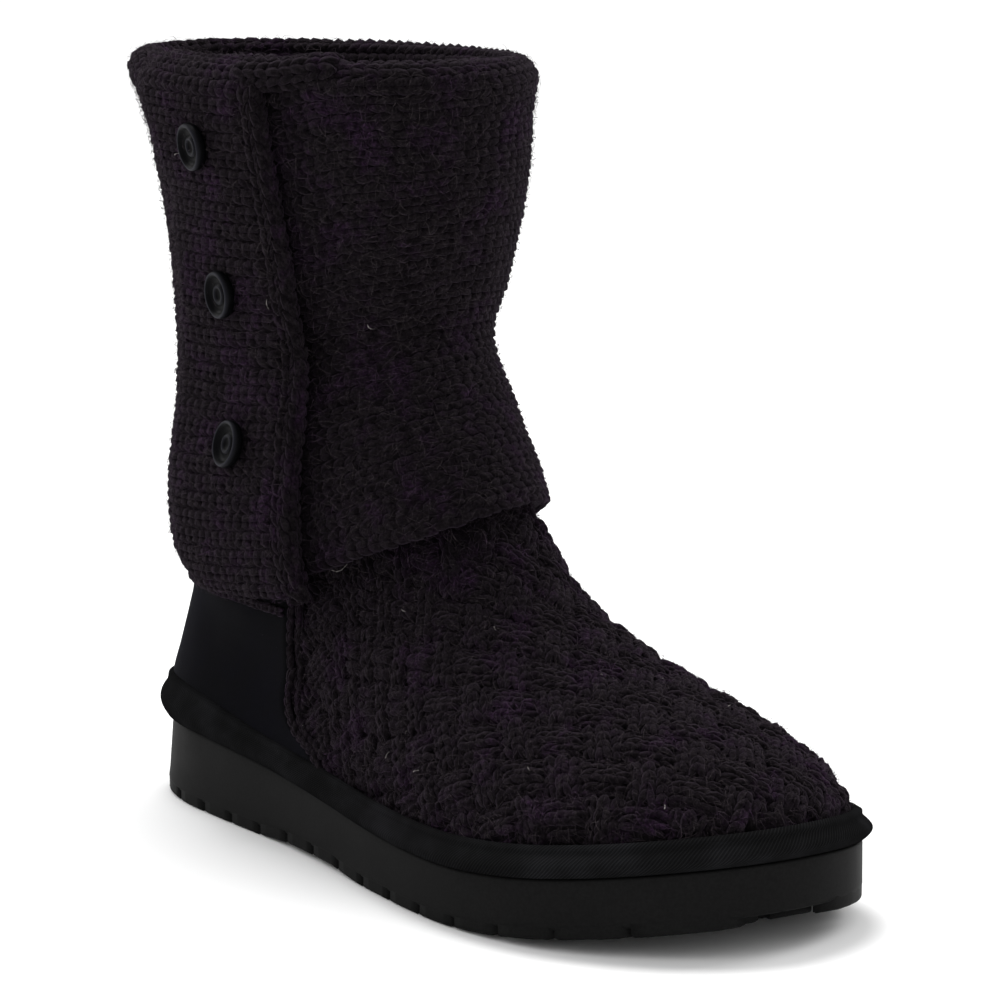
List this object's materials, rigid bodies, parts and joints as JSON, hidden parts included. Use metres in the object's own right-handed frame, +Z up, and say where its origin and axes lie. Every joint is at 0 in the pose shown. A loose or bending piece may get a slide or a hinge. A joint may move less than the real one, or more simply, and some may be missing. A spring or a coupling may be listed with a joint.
{
  "type": "sweater boot",
  "caption": "Right ankle boot with a knitted upper, a knitted shaft folded down as a buttoned cuff, a suede heel counter and a flat rubber sole edged with rolled tape.",
  "frame": {"origin": "on the floor, under the middle of the boot's box", "axes": "+X towards the toe, +Y towards the inner side of the foot, +Z up"},
  "size_m": [0.2898, 0.11, 0.2197],
  "materials": {
    "sole_rubber": "matt foamed rubber",
    "binding_tape": "twill tape",
    "knit": "soft wool knit",
    "suede": "brushed suede",
    "fleece": "short pile",
    "button": "satin"
  },
  "bodies": {
    "root": {"outsole": "sole_rubber", "binding": "binding_tape", "upper": "knit", "heel_counter": "suede", "cuff": "knit", "insole": "fleece", "button_1": "button", "button_2": "button", "button_3": "button"}
  },
  "joints": []
}
